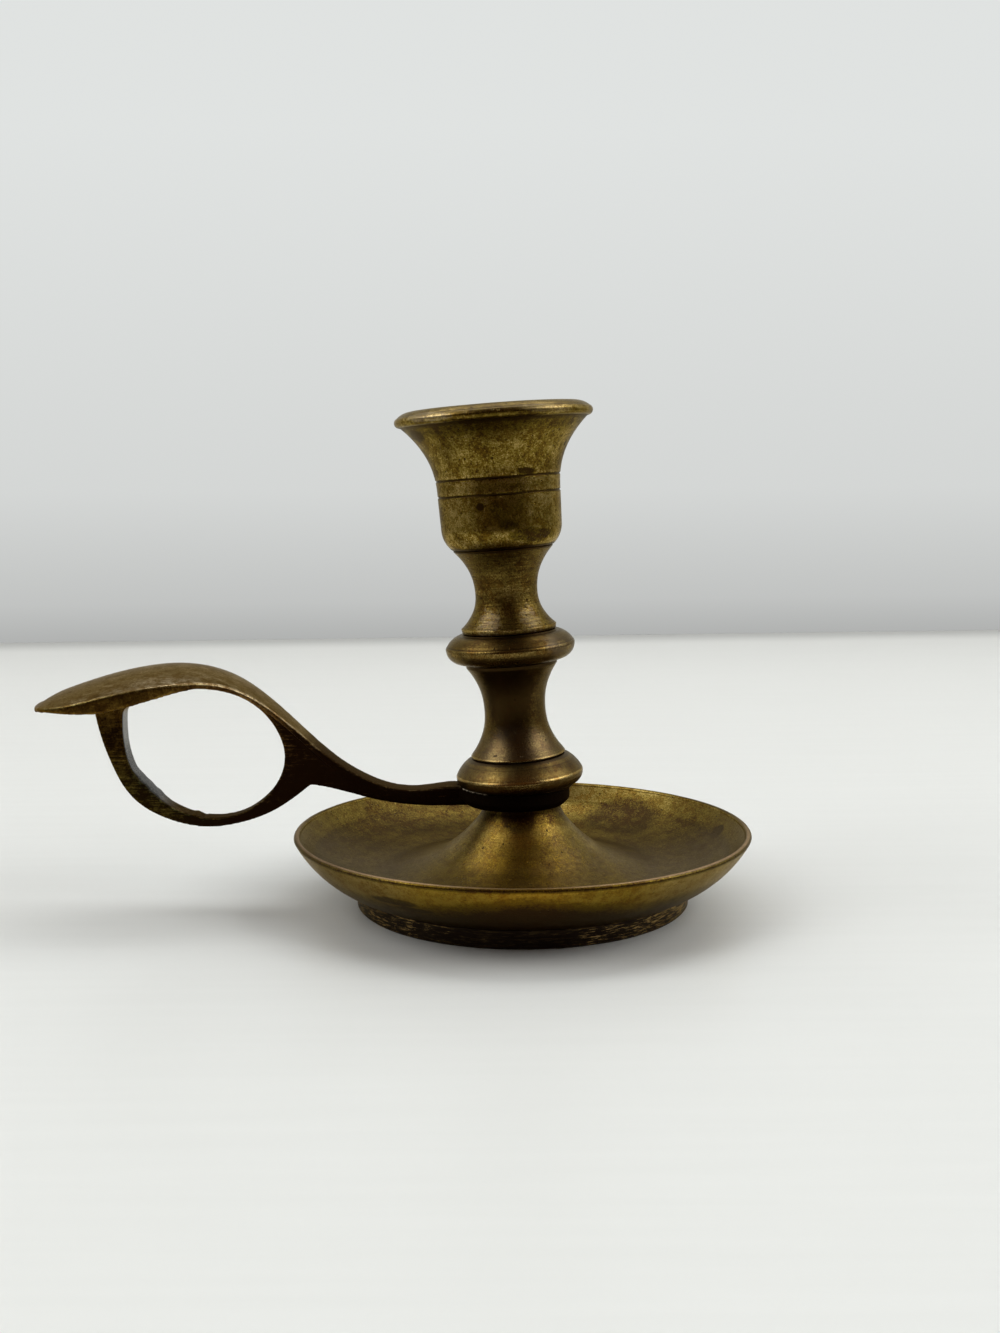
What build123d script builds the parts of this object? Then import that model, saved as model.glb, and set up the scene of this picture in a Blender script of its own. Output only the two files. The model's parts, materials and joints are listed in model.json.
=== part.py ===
from build123d import *
import math
import os

# Solid brass chamberstick with a finger loop, in millimetres.
# The origin is the centre of the foot ring where it rests, +Z is up, and the handle points to -X.

# Whole object
candle_diameter = 22.0
dish_radius = 48.2
rim_height = 15.6
eye_underside_height = 20.9
eye_thickness = 4.0
stem_lean = 3.85
stem_lean_front = 1.0
stem_bend_depth = 4.6
overrun = 1.0
thread_clearance = 0.05
rod_clearance = 0.1

# Drip dish: foot ring, bowl, centre cone
foot_radius = 35.2
foot_wall = 3.2
foot_height = 3.8
foot_inside_height = 3.05
foot_edge = 0.4
bowl_bulge = 1.6
rim_lip = 1.3
floor_height = 7.3
floor_radius = 27.5
bowl_wall = 2.1
cone_top_radius = 8.1
hollow_top_height = 16.0
hollow_top_radius = 7.2
dish_hole_radius = 2.8

# Threaded tie rod with its washer and nut under the cone
rod_radius = 2.4
rod_bend_radius = 20.0
rod_end_beyond_nut = 1.2
washer_radius = 6.0
washer_thickness = 1.0
nut_across_flats = 8.0
nut_height = 3.6
nut_corner_bevel = 0.5

# Handle: eye, strap, thumb leaf, finger loop
handle_reach = 101.6
eye_radius = 11.6
eye_centre_offset = 1.5
eye_hole_radius = 3.1
eye_bevel = 1.3
spot_face_radius = 13.2
leaf_rise = 30.1
leaf_half_width = 16.4
leaf_crown_radius = 42.0
leaf_hollow_radius = 52.0
leaf_blank_margin = 1.2
leaf_blank_depth = 3.9
strap_half_width = 3.05
loop_half_thickness = 2.4
loop_length = 32.7
loop_opening_height = 27.4
loop_left = -82.6
loop_floor_drop = 2.5

# Base collar: the turned bead that sits on the eye
collar_height = 6.35
collar_radius = 13.4
collar_belly_height = 2.5
collar_top_radius = 10.0
collar_seat_radius = 11.0
collar_shoulder_shares = (0.36, 0.60)
collar_cheek_shares = (0.24, 0.34)

# Lower stem: hollow waist, then the knop
lower_height = 26.4
lower_foot_radius = 9.95
lower_foot_band = 0.5
lower_waist_radius = 6.44
lower_neck_radius = 9.55
lower_waist_height = 9.9
lower_neck_height = 19.3
neck_band = 0.65
knop_radius = 13.55
knop_height = 6.1
knop_widest_share = 0.52
knop_low_radius = 10.3
knop_high_radius = 10.6
rod_engagement = 10.0
rod_hole_spare = 1.0

# Upper stem: a second hollow waist
upper_height = 17.6
upper_foot_radius = 9.8
upper_waist_radius = 6.49
upper_top_radius = 10.4
upper_foot_band = 0.9
upper_waist_height = 8.1

# Candle cup
cup_height = 28.7
cup_base_radius = 10.55
cup_body_radius = 12.5
cup_shoulder_height = 3.9
cup_belt_height = 10.7
cup_belt_radius = 12.7
cup_rim_radius = 20.4
cup_rim_height = 26.6
cup_mouth_radius = 16.8
cup_floor = 3.6
bell_power = 2.45
cup_bore_length = 14.5
groove_depth = 0.28
groove_width = 0.5
lower_groove_height = 11.0
upper_groove_height = 14.3

# Joints between the turned pieces: a spigot below, a socket above, a fine broken edge outside
spigot_radius = 3.2
spigot_length = 7.5
spigot_bevel = 0.5
socket_spare = 0.8
joint_edge = 0.25

# A turned hollow leaves its waist slowly and flares at its end: (share of the height, share of the flare)
flare_shares = [(0.30, 0.07), (0.55, 0.265), (0.80, 0.61), (1.0, 1.0)]

# Values that follow from the sizes above
eye_top = eye_underside_height + eye_thickness
bore_radius = candle_diameter / 2
rod_bend_height = eye_top - stem_bend_depth
bend_frame = Pos(0, 0, rod_bend_height) * Rot(stem_lean_front, -stem_lean, 0)
stem_frame = bend_frame * Pos(0, 0, stem_bend_depth / bend_frame.z_axis.direction.Z)
stem_foot = stem_frame.position
lower_base = collar_height
upper_base = lower_base + lower_height
cup_base = upper_base + upper_height


def turned(*edges):
    """A solid turned about the Z axis from edges in the XZ plane that close on themselves."""
    return revolve(make_face(Plane.XZ * Wire(edges)), Axis.Z)


def path(*points):
    """Straight edges through points given as (radius, height)."""
    return list(Polyline(*points).edges())


def hollow(low_radius, waist_radius, top_radius, low, waist, top):
    """The concave waist of a turned stem, from its low end to its top end."""
    below = [
        (waist_radius + (low_radius - waist_radius) * flare, waist + (low - waist) * along)
        for along, flare in reversed(flare_shares)
    ]
    above = [
        (waist_radius + (top_radius - waist_radius) * flare, waist + (top - waist) * along)
        for along, flare in flare_shares
    ]
    return Spline(*below, (waist_radius, waist), *above)


def at_stem(shape, height):
    """Place a turned piece on the leaning stem, its base at this height above the eye."""
    return stem_frame * Pos(0, 0, height) * shape


def spigot():
    """The plain shank under a turned piece, which screws into the piece below."""
    bevel = spigot_radius - spigot_bevel
    points = [
        (0, spigot_bevel),
        (0, -spigot_length),
        (bevel, -spigot_length),
        (spigot_radius, spigot_bevel - spigot_length),
        (spigot_radius, spigot_bevel),
        (0, spigot_bevel),
    ]
    return turned(*path(*points))


def socket_hole(top):
    """The hole that takes a spigot, open at the piece's top."""
    depth = spigot_length + socket_spare
    hole = Cylinder(spigot_radius + thread_clearance, depth + overrun)
    return Pos(0, 0, top + (overrun - depth) / 2) * hole


def make_drip_dish():
    """Bowl, foot ring and cone in one casting, turned all over and hollow beneath."""
    cone_rise = eye_underside_height - floor_height
    cone_run = floor_radius - cone_top_radius
    # (share of the run out from the cone's top, share of the rise above the floor)
    cone_shares = [
        (0.012, 0.91),
        (0.066, 0.77),
        (0.142, 0.645),
        (0.232, 0.512),
        (0.345, 0.375),
        (0.56, 0.185),
    ]
    cone = [
        (cone_top_radius + cone_run * out, floor_height + cone_rise * up)
        for out, up in cone_shares
    ]
    mouth_radius = dish_radius - rim_lip
    bowl_run = mouth_radius - floor_radius
    lip_low = (dish_radius, rim_height - rim_lip / 2)
    bowl_rise = lip_low[1] - floor_height
    # The same shares for the bowl, from its lowest ring out to the rim
    bowl_shares = [(0.28, 0.045), (0.55, 0.19), (0.80, 0.51), (1.0, 1.0)]
    bowl = [
        (floor_radius + bowl_run * out, floor_height + bowl_rise * up)
        for out, up in bowl_shares
    ]
    inside = Spline(
        (cone_top_radius, eye_underside_height), *cone, (floor_radius, floor_height), *bowl
    )
    rim = ThreePointArc(bowl[-1], (dish_radius - rim_lip / 2, rim_height), lip_low)
    ring_top = (foot_radius, foot_height)
    bowl_mid_radius = (dish_radius + foot_radius) / 2
    bowl_mid_height = (lip_low[1] + foot_height) / 2
    slope = math.atan2(lip_low[1] - foot_height, dish_radius - foot_radius)
    bulge = (
        bowl_mid_radius + bowl_bulge * math.sin(slope),
        bowl_mid_height - bowl_bulge * math.cos(slope),
    )
    outside = ThreePointArc(lip_low, bulge, ring_top)
    ring_inside = foot_radius - foot_wall
    under_floor = floor_height - bowl_wall
    # The hollow follows the cone: shares of its run and rise in from each end
    in_share, up_share = (0.45, 0.16)
    cone_foot = (floor_radius - cone_run * in_share, under_floor + cone_rise * up_share)
    out_share, down_share = (0.12, 0.22)
    cone_shoulder = (
        hollow_top_radius + cone_run * out_share,
        hollow_top_height - cone_rise * down_share,
    )
    under = Spline(
        (ring_inside, foot_inside_height),
        (floor_radius, under_floor),
        cone_foot,
        cone_shoulder,
        (hollow_top_radius, hollow_top_height),
    )
    ring = path(
        ring_top,
        (foot_radius, foot_edge),
        (foot_radius - foot_edge, 0),
        (ring_inside + foot_edge, 0),
        (ring_inside, foot_edge),
        (ring_inside, foot_inside_height),
    )
    hole = path(
        (hollow_top_radius, hollow_top_height),
        (dish_hole_radius, hollow_top_height),
        (dish_hole_radius, eye_underside_height),
        (cone_top_radius, eye_underside_height),
    )
    return turned(inside, rim, outside, *ring, under, *hole)


# Handle outlines, all as shares chosen along the real curves.
# Top of the leaf and strap: (share of the reach, share of the rise above the eye, thickness share)
top_line_shares = [
    (1.022, 0.690, 0.22),
    (0.995, 0.742, 0.26),
    (0.972, 0.785, 0.31),
    (0.950, 0.822, 0.38),
    (0.915, 0.865, 0.54),
    (0.862, 0.921, 0.86),
    (0.785, 0.980, 1.00),
    (0.707, 1.000, 0.70),
    (0.648, 0.970, 0.42),
    (0.580, 0.870, 0.36),
    (0.511, 0.700, 0.38),
    (0.442, 0.486, 0.44),
    (0.383, 0.317, 0.50),
    (0.324, 0.196, 0.55),
    (0.265, 0.126, 0.58),
    (0.207, 0.117, 0.58),
    (0.147, 0.141, 0.58),
    (0.121, 0.132, 0.55),
    (0.050, 0.095, 0.45),
]
# Half width of leaf and strap: (share of the reach, share of the widening from strap to leaf)
plan_shares = [
    (0.993, 0.190),
    (0.975, 0.500),
    (0.952, 0.712),
    (0.930, 0.836),
    (0.902, 0.932),
    (0.858, 0.993),
    (0.805, 1.000),
    (0.760, 0.975),
    (0.707, 0.900),
    (0.648, 0.660),
    (0.580, 0.320),
    (0.511, 0.124),
    (0.442, 0.045),
    (0.360, 0.000),
    (0.200, 0.000),
    (0.040, 0.000),
]
# Underside of the strap, from the finger loop to the eye: (share of the reach, share of the rise)
strap_under_shares = [
    (0.443, 0.151),
    (0.418, 0.143),
    (0.377, 0.112),
    (0.294, 0.040),
    (0.236, 0.010),
    (0.141, 0.000),
    (0.050, 0.012),
]
# Thickness of the loop and the strap's edge in plan: (share of the reach, 0 the loop's to 1 the strap's)
plate_shares = [(1.1, 0.0), (0.8, 0.0), (0.48, 0.0), (0.38, 0.5), (0.28, 1.0), (0.16, 1.0), (0.0, 1.0)]
# How far along the reach a slice of the blank looks for the widest plan
blank_reach_share = 0.08
# Finger hole and outside of the loop: (share of its length from the left, share of its height)
hole_shares = [
    (-0.030, 0.820),
    (-0.034, 0.680),
    (-0.020, 0.520),
    (0.038, 0.335),
    (0.185, 0.152),
    (0.375, 0.030),
    (0.545, 0.000),
    (0.725, 0.044),
    (0.875, 0.168),
    (0.970, 0.325),
    (1.000, 0.478),
    (0.966, 0.650),
    (0.850, 0.840),
    (0.690, 0.955),
    (0.510, 1.000),
    (0.320, 0.990),
    (0.130, 0.930),
    (0.010, 0.880),
]
loop_outside_shares = [
    (-0.225, 1.010),
    (-0.204, 0.790),
    (-0.166, 0.602),
    (-0.110, 0.416),
    (-0.034, 0.236),
    (0.066, 0.106),
    (0.190, 0.018),
    (0.339, -0.044),
    (0.508, -0.070),
    (0.676, -0.046),
    (0.832, 0.008),
    (0.963, 0.084),
    (1.095, 0.193),
    (1.240, 0.330),
]


def reach_point(along, rise):
    """A point on the handle's centre plane: shares of its reach and of the leaf's rise."""
    return (-handle_reach * along, leaf_rise * rise)


def loop_point(along, up):
    """A point of the finger loop: shares of the opening's length and height."""
    return (loop_left + loop_length * along, loop_opening_height * up - loop_floor_drop)


def half_width(widening):
    """Half width of the leaf or strap at this share of the widening."""
    return strap_half_width + (leaf_half_width - strap_half_width) * widening


def leaf_section(along, rise, thickness):
    """One crowned slice of the leaf blank, square to the handle's length."""
    span = [half_width(wide) for near, wide in plan_shares if abs(near - along) < blank_reach_share]
    half = (max(span) if along < 1 else strap_half_width) + leaf_blank_margin
    x, top = reach_point(along, rise)
    bottom = top - leaf_blank_depth * thickness
    top_drop = leaf_crown_radius - math.sqrt(leaf_crown_radius**2 - half**2)
    bottom_drop = leaf_hollow_radius - math.sqrt(leaf_hollow_radius**2 - half**2)
    upper = ThreePointArc((x, -half, top - top_drop), (x, 0, top), (x, half, top - top_drop))
    lower = ThreePointArc(
        (x, half, bottom - bottom_drop), (x, 0, bottom), (x, -half, bottom - bottom_drop)
    )
    return Face(Wire([upper, Line(upper @ 1, lower @ 0), lower, Line(lower @ 1, upper @ 0)]))


def plan_prism(points, height, low):
    """An upright prism from one long edge of its plan, mirrored about the handle's length."""
    edge = Spline(*points)
    other = edge.mirror(Plane.XZ)
    ends = [Line(edge @ 1, other @ 1), Line(other @ 0, edge @ 0)]
    return Pos(0, 0, low) * extrude(make_face(Wire([edge, ends[0], other, ends[1]])), height)


def make_handle():
    """One casting: eye, strap, crowned thumb leaf and the finger loop under it."""
    blank = loft([leaf_section(*shares) for shares in top_line_shares])
    leaf_edge = [(-handle_reach * along, -half_width(wide)) for along, wide in plan_shares]
    low = -loop_opening_height
    tall = leaf_rise + 2 * loop_opening_height
    tip = (-handle_reach, 0)
    near = Spline(tip, *leaf_edge, tangents=[(0, -1), (1, 0)])
    far = near.mirror(Plane.XZ)
    plan = make_face(Wire([near, Line(near @ 1, far @ 1), far]))
    leaf = blank & (Pos(0, 0, low) * extrude(plan, tall))

    under_top = [
        (reach_point(along, rise)[0], reach_point(along, rise)[1] - leaf_blank_depth * thick / 2)
        for along, rise, thick in top_line_shares
    ]
    floor = low - overrun
    ceiling = Spline(*under_top)
    box = Polyline(under_top[-1], (under_top[-1][0], floor), (under_top[0][0], floor), under_top[0])
    below_top = make_face(Wire([ceiling, *box.edges()]))
    outside = [loop_point(*share) for share in loop_outside_shares]
    loop_edge = Spline(*outside)
    lid = Polyline(outside[-1], (outside[-1][0], tall), (outside[0][0], tall), outside[0])
    loop = make_face(Wire([loop_edge, *lid.edges()]))
    under = [reach_point(*share) for share in strap_under_shares]
    strap_edge = Spline(*under)
    strap_lid = Polyline(under[-1], (under[-1][0], tall), (under[0][0], tall), under[0])
    strap = make_face(Wire([strap_edge, *strap_lid.edges()]))
    opening = make_face(Spline(*[loop_point(*share) for share in hole_shares], periodic=True))
    side = (loop + strap) & below_top
    side = side - opening
    plate = extrude(Plane.XZ * side, strap_half_width, both=True)
    extra = strap_half_width - loop_half_thickness
    plate_edge = [
        (-handle_reach * along, -loop_half_thickness - extra * wider) for along, wider in plate_shares
    ]
    plate = plate & plan_prism(plate_edge, tall, low)

    eye = Pos(-eye_centre_offset, 0, eye_thickness / 2) * Cylinder(eye_radius, eye_thickness)
    eye = chamfer(eye.edges().sort_by(Axis.Z)[0], eye_bevel)
    handle = leaf + plate + eye
    handle -= Cylinder(eye_hole_radius, 3 * eye_thickness)
    spot_face = Cylinder(spot_face_radius, leaf_rise)
    handle -= Pos(stem_foot.X, stem_foot.Y, eye_thickness + leaf_rise / 2) * spot_face
    return Pos(0, 0, eye_underside_height) * handle


def make_base_collar():
    """The bead at the stem's foot, cut level beneath so that the stem leans."""
    bottom = -overrun
    seat = (collar_seat_radius, 0)
    belly = (collar_radius, collar_belly_height)
    in_share, up_share = collar_shoulder_shares
    shoulder = (
        collar_radius - (collar_radius - collar_top_radius) * in_share,
        collar_belly_height + (collar_height - collar_belly_height) * up_share,
    )
    in_share, up_share = collar_cheek_shares
    cheek = (
        collar_radius - (collar_radius - collar_seat_radius) * in_share,
        collar_belly_height * up_share,
    )
    top = (collar_top_radius, collar_height)
    hole = rod_radius + rod_clearance
    inner = path(top, (hole, collar_height), (hole, bottom), (collar_seat_radius, bottom), seat)
    bead = turned(ThreePointArc(seat, cheek, belly), ThreePointArc(belly, shoulder, top), *inner)
    size = 4 * collar_radius
    below_seat = Pos(0, 0, eye_top - size / 2) * Box(size, size, size)
    return at_stem(bead, 0) - below_seat


def make_lower_stem():
    """The lower waist and the knop, turned in one piece."""
    foot = (lower_foot_radius, lower_foot_band)
    waist = hollow(
        lower_foot_radius,
        lower_waist_radius,
        lower_neck_radius,
        lower_foot_band,
        lower_waist_height,
        lower_neck_height,
    )
    knop_low = lower_height - knop_height
    knop = ThreePointArc(
        (knop_low_radius, knop_low),
        (knop_radius, knop_low + knop_height * knop_widest_share),
        (knop_high_radius, lower_height - joint_edge),
    )
    band = path(
        (lower_neck_radius, lower_neck_height),
        (lower_neck_radius, lower_neck_height + neck_band),
        (knop_low_radius, knop_low),
    )
    lip = path(
        (knop_high_radius, lower_height - joint_edge),
        (upper_foot_radius + joint_edge, lower_height - joint_edge),
        (upper_foot_radius, lower_height),
        (0, lower_height),
        (0, 0),
        (lower_foot_radius - joint_edge, 0),
        foot,
    )
    body = turned(waist, *band, knop, *lip)
    body -= socket_hole(lower_height)
    rod_depth = rod_engagement + rod_hole_spare
    rod_hole = Cylinder(rod_radius + thread_clearance, rod_depth + overrun)
    body -= Pos(0, 0, (rod_depth - overrun) / 2) * rod_hole
    return at_stem(body, lower_base)


def make_upper_stem():
    """The upper waist, with its own spigot down into the knop."""
    band_top = upper_foot_band + joint_edge
    waist = hollow(
        upper_foot_radius,
        upper_waist_radius,
        upper_top_radius,
        band_top,
        upper_waist_height,
        upper_height - joint_edge,
    )
    rest = path(
        (upper_top_radius, upper_height - joint_edge),
        (upper_top_radius - joint_edge, upper_height),
        (0, upper_height),
        (0, 0),
        (upper_foot_radius - joint_edge, 0),
        (upper_foot_radius, joint_edge),
        (upper_foot_radius, band_top),
    )
    body = turned(waist, *rest) + spigot()
    body -= socket_hole(upper_height)
    return at_stem(body, upper_base)


def incised_line(height, radius):
    """The ring cut away by a fine V groove at this height."""
    outer = radius + groove_depth
    points = [
        (radius - groove_depth, height),
        (outer, height - groove_width),
        (outer, height + groove_width),
        (radius - groove_depth, height),
    ]
    return turned(*path(*points))


def cup_flare_radius(height):
    """Outside radius of the cup's bell between its belt and its rim."""
    share = (height - cup_belt_height) / (cup_rim_height - cup_belt_height)
    return cup_belt_radius + (cup_rim_radius - cup_belt_radius) * max(share, 0) ** bell_power


def make_candle_cup():
    """The candle cup: a round-based barrel that opens into a bell with a thick bevelled rim."""
    out_share, up_share = (0.70, 0.46)
    shoulder_mid = (
        cup_base_radius + (cup_body_radius - cup_base_radius) * out_share,
        cup_shoulder_height * up_share,
    )
    shoulder = ThreePointArc(
        (cup_base_radius, 0), shoulder_mid, (cup_body_radius, cup_shoulder_height)
    )
    wall = path((cup_body_radius, cup_shoulder_height), (cup_belt_radius, cup_belt_height))
    bell_rise = cup_rim_height - cup_belt_height
    bell_shares = (0.0, 0.27, 0.52, 0.74, 0.9, 0.97)
    bell_heights = [cup_belt_height + bell_rise * share for share in bell_shares]
    bell_points = [(cup_flare_radius(height), height) for height in bell_heights]
    bell = Spline(*bell_points)
    edge_height = cup_height - cup_rim_height
    crest_run = cup_rim_radius - cup_mouth_radius
    # The bevel of the rim: shares of its run inward and of its rise
    bevel_shares = [(0.07, 0.21), (0.44, 0.77), (0.88, 1.0)]
    bevel = [
        (cup_rim_radius - crest_run * inward, cup_rim_height + edge_height * up)
        for inward, up in bevel_shares
    ]
    rim_edge = ThreePointArc(bell_points[-1], (cup_rim_radius, cup_rim_height), bevel[0])
    crest = ThreePointArc(*bevel)
    bore_top = cup_floor + cup_bore_length
    funnel_rise = cup_height - bore_top
    funnel_run = cup_mouth_radius - bore_radius
    funnel_shares = [(1.0, 1.0), (0.56, 0.72), (0.20, 0.40), (0.0, 0.0)]
    funnel = Spline(
        *[(bore_radius + funnel_run * out, bore_top + funnel_rise * up) for out, up in funnel_shares]
    )
    mouth = path(crest @ 1, (cup_mouth_radius, cup_height))
    inside = path(
        (bore_radius, bore_top), (bore_radius, cup_floor), (0, cup_floor), (0, 0), (cup_base_radius, 0)
    )
    body = turned(shoulder, *wall, bell, rim_edge, crest, *mouth, funnel, *inside)
    body -= incised_line(lower_groove_height, cup_flare_radius(lower_groove_height))
    body -= incised_line(upper_groove_height, cup_flare_radius(upper_groove_height))
    return at_stem(body + spigot(), cup_base)


def make_tie_rod():
    """The threaded rod from the nut up through dish and eye, bent where the stem begins to lean."""
    bottom = hollow_top_height - washer_thickness - nut_height - rod_end_beyond_nut
    top = stem_frame * Pos(0, 0, lower_base + rod_engagement)
    end = top.position
    line = FilletPolyline((0, 0, bottom), (0, 0, rod_bend_height), end, radius=rod_bend_radius)
    section = Pos(0, 0, bottom) * Circle(rod_radius)
    return sweep(section, line)


def make_washer():
    """Plain washer against the flat inside the cone."""
    ring = Cylinder(washer_radius, washer_thickness)
    ring -= Cylinder(rod_radius + rod_clearance, 2 * washer_thickness)
    return Pos(0, 0, hollow_top_height - washer_thickness / 2) * ring


def make_nut():
    """Hexagon nut that draws the whole candlestick together, its lower corners turned off."""
    flat = nut_across_flats / 2
    corner = flat / math.cos(math.pi / 6)
    body = extrude(RegularPolygon(corner, 6), nut_height)
    cone = [
        (0, 0),
        (flat, 0),
        (corner, nut_corner_bevel),
        (corner, nut_height),
        (0, nut_height),
        (0, 0),
    ]
    body &= turned(*path(*cone))
    body -= Cylinder(rod_radius + thread_clearance, 3 * nut_height)
    return Pos(0, 0, hollow_top_height - washer_thickness - nut_height) * body


pieces = {
    "drip_dish": make_drip_dish,
    "handle": make_handle,
    "base_collar": make_base_collar,
    "lower_stem": make_lower_stem,
    "upper_stem": make_upper_stem,
    "candle_cup": make_candle_cup,
    "tie_rod": make_tie_rod,
    "washer": make_washer,
    "nut": make_nut,
}

os.makedirs("parts", exist_ok=True)
for name, make in pieces.items():
    export_step(make(), f"parts/{name}.step")
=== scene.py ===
import json
import math

import bmesh
import bpy
import numpy as np
from mathutils import Matrix, Vector, noise
from mathutils.geometry import interpolate_bezier


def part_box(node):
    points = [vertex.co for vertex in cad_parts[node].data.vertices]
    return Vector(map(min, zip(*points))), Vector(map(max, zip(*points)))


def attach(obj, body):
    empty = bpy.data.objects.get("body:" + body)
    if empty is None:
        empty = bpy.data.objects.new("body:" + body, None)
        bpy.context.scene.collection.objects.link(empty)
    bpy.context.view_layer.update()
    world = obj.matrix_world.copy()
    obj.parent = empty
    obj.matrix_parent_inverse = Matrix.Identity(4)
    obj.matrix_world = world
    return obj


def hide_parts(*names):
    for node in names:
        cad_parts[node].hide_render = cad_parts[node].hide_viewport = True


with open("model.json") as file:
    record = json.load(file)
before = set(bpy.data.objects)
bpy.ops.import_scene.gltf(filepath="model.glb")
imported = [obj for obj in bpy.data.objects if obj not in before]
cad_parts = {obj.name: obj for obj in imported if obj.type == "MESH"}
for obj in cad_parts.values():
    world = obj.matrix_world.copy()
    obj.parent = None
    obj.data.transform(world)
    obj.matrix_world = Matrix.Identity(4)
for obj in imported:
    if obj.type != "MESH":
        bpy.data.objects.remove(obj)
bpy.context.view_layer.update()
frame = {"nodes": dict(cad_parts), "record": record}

# Old solid brass chamberstick, dressed over its CAD solids. Metres, +Z up, handle towards -X.

# The view. The camera stands close in front of the stem and looks slightly down on it,
# as a hand-held camera does, with the smallest tilt to one side.
photo_height = 1333
focal_length_px = 1400
film_width = 36.0
camera_place = Vector((-0.00448, -0.2922, 0.0854))
look_down = math.radians(6.91)
side_tilt = math.radians(-0.40)

scene = bpy.context.scene
camera = bpy.data.objects.new("camera", bpy.data.cameras.new("camera"))
camera.data.sensor_width = film_width
camera.data.lens = film_width * focal_length_px / photo_height
camera.data.clip_start = 0.01
aim = Matrix.Rotation(math.pi / 2 - look_down, 4, "X") @ Matrix.Rotation(side_tilt, 4, "Z")
camera.matrix_world = Matrix.Translation(camera_place) @ aim
scene.collection.objects.link(camera)
scene.camera = camera
scene.view_settings.view_transform = "Standard"


# The table and the wall behind it. A white painted board with faint brushed grain
# meets a pale wall. Painted shade darkens the wall towards its foot and the board in a soft
# strip along the wall, and painted light makes the board a little lighter further back.
class Wire:
    """One output of a node. Sums on it, such as a * 2 + b, add Math nodes to its tree."""

    def __init__(self, tree, socket):
        self.tree, self.socket = tree, socket

    def calc(self, operation, *others, clamp=False):
        """The result of a Math node on this and others."""
        feeds = dict(enumerate((self, *others)))
        return put(self.tree, "ShaderNodeMath", feeds, operation=operation, use_clamp=clamp)

    def fade(self, start, end, low=0, high=1, **settings):
        """A number that goes from low to high while this goes from start to end."""
        feeds = {"Value": self, "From Min": start, "From Max": end, "To Min": low, "To Max": high}
        return put(self.tree, "ShaderNodeMapRange", feeds, **settings)

    def clamped(self):
        """This, held between 0 and 1."""
        return self.calc("ADD", 0, clamp=True)

    def max(self, other):
        return self.calc("MAXIMUM", other)

    def min(self, other):
        return self.calc("MINIMUM", other)

    def __add__(self, other):
        return self.calc("ADD", other)

    def __sub__(self, other):
        return self.calc("SUBTRACT", other)

    def __rsub__(self, other):
        return self * -1 + other

    def __mul__(self, other):
        return self.calc("MULTIPLY", other)

    def __truediv__(self, other):
        return self.calc("DIVIDE", other)

    def __mod__(self, other):
        return self.calc("MODULO", other)

    def __abs__(self):
        return self.calc("ABSOLUTE")

    def __gt__(self, other):
        return self.calc("GREATER_THAN", other)

    def __lt__(self, other):
        return self.calc("LESS_THAN", other)


def plug(tree, node, feeds):
    """Feed a node's inputs, by name or number, with values, colours or what nodes give."""
    for key, value in feeds.items():
        if isinstance(value, Wire):
            value = value.socket
        if isinstance(value, bpy.types.NodeSocket):
            tree.links.new(value, node.inputs[key])
        elif node.inputs[key].type == "RGBA":
            node.inputs[key].default_value = (*value, 1)
        else:
            node.inputs[key].default_value = value


def add(tree, kind, feeds=None, **settings):
    """A new node with these inputs and settings."""
    node = tree.nodes.new(kind)
    for key, value in settings.items():
        setattr(node, key, value)
    plug(tree, node, feeds or {})
    return node


def put(tree, kind, feeds=None, out=0, **settings):
    """Add a node and give one of its outputs."""
    return Wire(tree, add(tree, kind, feeds, **settings).outputs[out])


def coordinates(tree, vector):
    """The three numbers of a vector."""
    split = add(tree, "ShaderNodeSeparateXYZ", {"Vector": vector})
    return [Wire(tree, split.outputs[axis]) for axis in "XYZ"]


def stretched(tree, place, scale, turn=(0, 0, 0)):
    """A place scaled along each axis, for texture that runs one way."""
    return put(tree, "ShaderNodeMapping", {"Vector": place, "Scale": scale, "Rotation": turn})


def clouds(tree, place, scale, detail=3.0, roughness=0.55):
    """Noise round zero, about a half either way, with features of the size 1 / scale."""
    feeds = {"Vector": place, "Scale": scale, "Detail": detail, "Roughness": roughness}
    return put(tree, "ShaderNodeTexNoise", feeds) - 0.5


def ramp(tree, factor, stops):
    """The colour of a ramp at a factor. stops are (position, colour)."""
    node = add(tree, "ShaderNodeValToRGB", {"Fac": factor})
    elements = node.color_ramp.elements
    while len(elements) < len(stops):
        elements.new(0.5)
    for element, (position, colour) in zip(elements, stops):
        element.position = position
        element.color = (*colour, 1)
    return Wire(tree, node.outputs["Color"])


def new_material(name):
    """A node material, as (material, tree, its Principled shader)."""
    material = bpy.data.materials.new(name)
    material.use_nodes = True
    return material, material.node_tree, material.node_tree.nodes["Principled BSDF"]


def surface(tree, share, one, other):
    """Give a material's surface as a mix of two shaders."""
    both = put(tree, "ShaderNodeMixShader", {0: share, 1: one, 2: other})
    plug(tree, tree.nodes["Material Output"], {"Surface": both})


def stage_sheet(name, corners, material):
    """One flat sheet of the setting, which isn't part of the object."""
    mesh = bpy.data.meshes.new(name)
    mesh.from_pydata(corners, [], [tuple(range(len(corners)))])
    mesh.materials.append(material)
    sheet = bpy.data.objects.new(name, mesh)
    scene.collection.objects.link(sheet)


table_half_width = 1.6
table_front = -1.6
lit_front = -0.20
wall_distance = 0.567
wall_slant = 0.062
wall_height = 1.3
soft_edge = 0.06
wall_shade_dim = 0.68
grey_rise = 0.30
room_dim = (0.080, 0.034, 0.005)
paint_low = (0.780, 0.795, 0.770)
paint_high = (0.795, 0.810, 0.785)
wall_foot = (0.435, 0.443, 0.437)
wall_low = (0.535, 0.545, 0.537)
wall_middle = (0.66, 0.675, 0.665)
wall_top = (0.745, 0.765, 0.755)

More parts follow.
